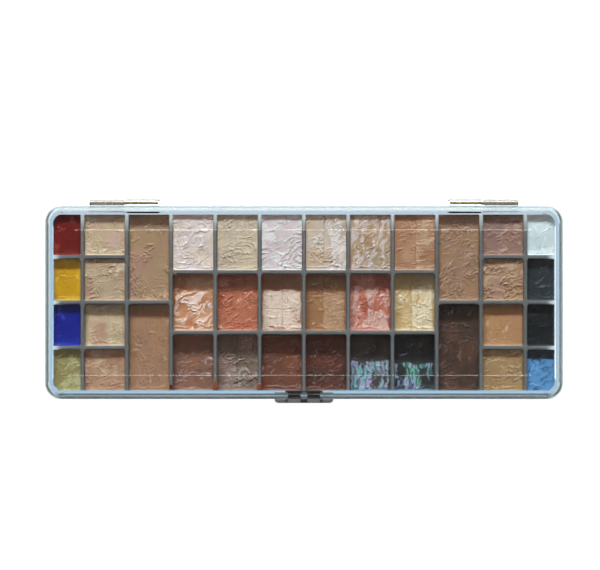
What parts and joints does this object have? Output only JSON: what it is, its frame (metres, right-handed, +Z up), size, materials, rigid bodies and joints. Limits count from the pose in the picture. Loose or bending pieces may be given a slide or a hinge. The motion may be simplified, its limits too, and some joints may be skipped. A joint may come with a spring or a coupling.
{
  "type": "watercolor pan set",
  "caption": "Long clear palette box with a hinged clear lid, a front snap latch and wells filled with thick paint.",
  "frame": {"origin": "middle of the tray's flat underside", "axes": "+X along the box's length, +Y towards the hinges, +Z up out of the wells"},
  "size_m": [0.21, 0.083, 0.0141],
  "materials": {
    "clear_tray": "clear glossy moulded plastic with a faint blue tint",
    "clear_lid": "clear glossy moulded plastic with a faint blue tint",
    "smoke_latch": "grey translucent moulded plastic",
    "brass_pin": "bright drawn wire with a ringed grip",
    "paint_a1_brick_red": "thick glossy cream paint, spread with a knife",
    "paint_a2_golden_yellow": "thick glossy cream paint, spread with a knife",
    "paint_a3_royal_blue": "thick glossy cream paint, spread with a knife",
    "paint_a4_olive": "thick glossy cream paint, spread with a knife",
    "paint_b1_pale_beige": "thick glossy cream paint, spread with a knife",
    "paint_b2_rose_beige": "thick glossy cream paint, spread with a knife",
    "paint_b3_sand": "thick glossy cream paint, spread with a knife",
    "paint_b4_warm_beige": "thick glossy cream paint, spread with a knife",
    "paint_c1_tan": "thick glossy cream paint, spread with a knife",
    "paint_c2_caramel": "thick glossy cream paint, spread with a knife",
    "paint_d1_shell_pink": "thick glossy cream paint, spread with a knife",
    "paint_d2_peach": "thick glossy cream paint, spread with a knife",
    "paint_d3_chestnut": "thick glossy cream paint, spread with a knife",
    "paint_e1_ivory": "thick glossy cream paint, spread with a knife",
    "paint_e2_terracotta": "thick glossy cream paint, spread with a knife",
    "paint_e3_taupe": "thick glossy cream paint, spread with a knife",
    "paint_f1_porcelain": "thick glossy cream paint, spread with a knife",
    "paint_f2_cream": "thick glossy cream paint, spread with a knife",
    "paint_f3_russet": "thick glossy cream paint, spread with a knife",
    "paint_g1_oatmeal": "thick glossy cream paint, spread with a knife",
    "paint_g2_apricot_tan": "thick glossy cream paint, spread with a knife",
    "paint_g3_cocoa": "thick glossy cream paint, spread with a knife",
    "paint_h1_mauve_beige": "thick glossy cream paint, spread with a knife",
    "paint_h2_coral_pink": "thick glossy cream paint, spread with a knife",
    "paint_h3_charcoal": "thick glossy cream paint, spread with a knife",
    "paint_i1_honey": "thick glossy cream paint, spread with a knife",
    "paint_i2_pale_yellow": "thick glossy cream paint, spread with a knife",
    "paint_i3_pearl_black": "thick glossy cream paint, spread with a knife",
    "paint_j1_fawn": "thick glossy cream paint, spread with a knife",
    "paint_j2_espresso": "thick glossy cream paint, spread with a knife",
    "paint_k1_mauve_brown": "thick glossy cream paint, spread with a knife",
    "paint_k2_amber_beige": "thick glossy cream paint, spread with a knife",
    "paint_k3_ochre_tan": "thick glossy cream paint, spread with a knife",
    "paint_k4_light_ochre": "thick glossy cream paint, spread with a knife",
    "paint_l1_white": "thick glossy cream paint, spread with a knife",
    "paint_l2_dark_grey": "thick glossy cream paint, spread with a knife",
    "paint_l3_black": "thick glossy cream paint, spread with a knife",
    "paint_l4_sky_blue": "thick glossy cream paint, spread with a knife"
  },
  "bodies": {
    "tray": {"base_tray": "clear_tray", "hinge_pin_left": "brass_pin", "hinge_pin_right": "brass_pin", "paint_a1_brick_red": "paint_a1_brick_red", "paint_a2_golden_yellow": "paint_a2_golden_yellow", "paint_a3_royal_blue": "paint_a3_royal_blue", "paint_a4_olive": "paint_a4_olive", "paint_b1_pale_beige": "paint_b1_pale_beige", "paint_b2_rose_beige": "paint_b2_rose_beige", "paint_b3_sand": "paint_b3_sand", "paint_b4_warm_beige": "paint_b4_warm_beige", "paint_c1_tan": "paint_c1_tan", "paint_c2_caramel": "paint_c2_caramel", "paint_d1_shell_pink": "paint_d1_shell_pink", "paint_d2_peach": "paint_d2_peach", "paint_d3_chestnut": "paint_d3_chestnut", "paint_e1_ivory": "paint_e1_ivory", "paint_e2_terracotta": "paint_e2_terracotta", "paint_e3_taupe": "paint_e3_taupe", "paint_f1_porcelain": "paint_f1_porcelain", "paint_f2_cream": "paint_f2_cream", "paint_f3_russet": "paint_f3_russet", "paint_g1_oatmeal": "paint_g1_oatmeal", "paint_g2_apricot_tan": "paint_g2_apricot_tan", "paint_g3_cocoa": "paint_g3_cocoa", "paint_h1_mauve_beige": "paint_h1_mauve_beige", "paint_h2_coral_pink": "paint_h2_coral_pink", "paint_h3_charcoal": "paint_h3_charcoal", "paint_i1_honey": "paint_i1_honey", "paint_i2_pale_yellow": "paint_i2_pale_yellow", "paint_i3_pearl_black": "paint_i3_pearl_black", "paint_j1_fawn": "paint_j1_fawn", "paint_j2_espresso": "paint_j2_espresso", "paint_k1_mauve_brown": "paint_k1_mauve_brown", "paint_k2_amber_beige": "paint_k2_amber_beige", "paint_k3_ochre_tan": "paint_k3_ochre_tan", "paint_k4_light_ochre": "paint_k4_light_ochre", "paint_l1_white": "paint_l1_white", "paint_l2_dark_grey": "paint_l2_dark_grey", "paint_l3_black": "paint_l3_black", "paint_l4_sky_blue": "paint_l4_sky_blue"},
    "lid": {"lid": "clear_lid"},
    "latch": {"front_latch": "smoke_latch"}
  },
  "joints": [
    {"name": "lid_hinge", "type": "hinge", "parent": "tray", "child": "lid", "pos_m": [0, 0.0404, 0.0105], "axis": [-1, 0, 0], "range_deg": [0, 180]},
    {"name": "latch_pivot", "type": "hinge", "parent": "lid", "child": "latch", "pos_m": [0, -0.03893, 0.0123], "axis": [-1, 0, 0], "range_deg": [0, 95]}
  ]
}
